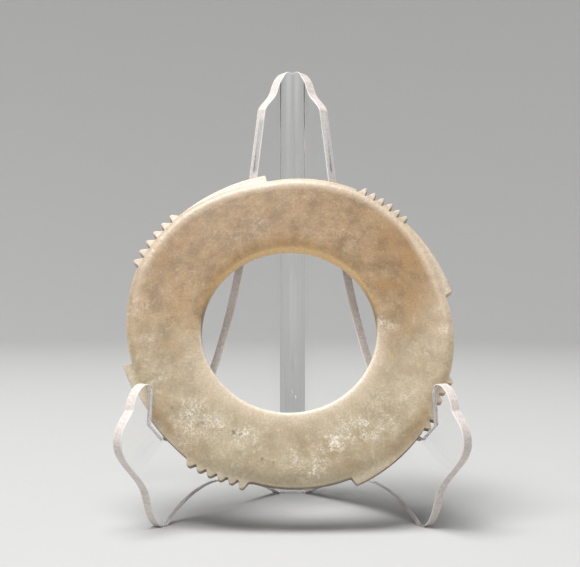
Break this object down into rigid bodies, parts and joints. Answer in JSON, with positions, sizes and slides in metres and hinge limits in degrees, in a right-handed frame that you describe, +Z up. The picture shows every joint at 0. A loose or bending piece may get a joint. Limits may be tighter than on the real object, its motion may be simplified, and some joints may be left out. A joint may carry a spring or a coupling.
{
  "type": "jade bi disc on easel",
  "caption": "Flat jade ring with hooked horns and groups of small teeth round its rim, leaning in a clear easel bent from one sheet.",
  "frame": {"origin": "on the ground, under the middle of the bounding box's base", "axes": "+Z up along the easel, -Y the way the disc's face looks, +X to the viewer's right"},
  "size_m": [0.0965, 0.0634, 0.1367],
  "materials": {
    "jade": "satin polish, mottled cream and buff",
    "clear_acrylic": "clear and glossy, cut edges frosted"
  },
  "bodies": {
    "root": {"jade_disc": "jade", "acrylic_easel": "clear_acrylic"}
  },
  "joints": []
}
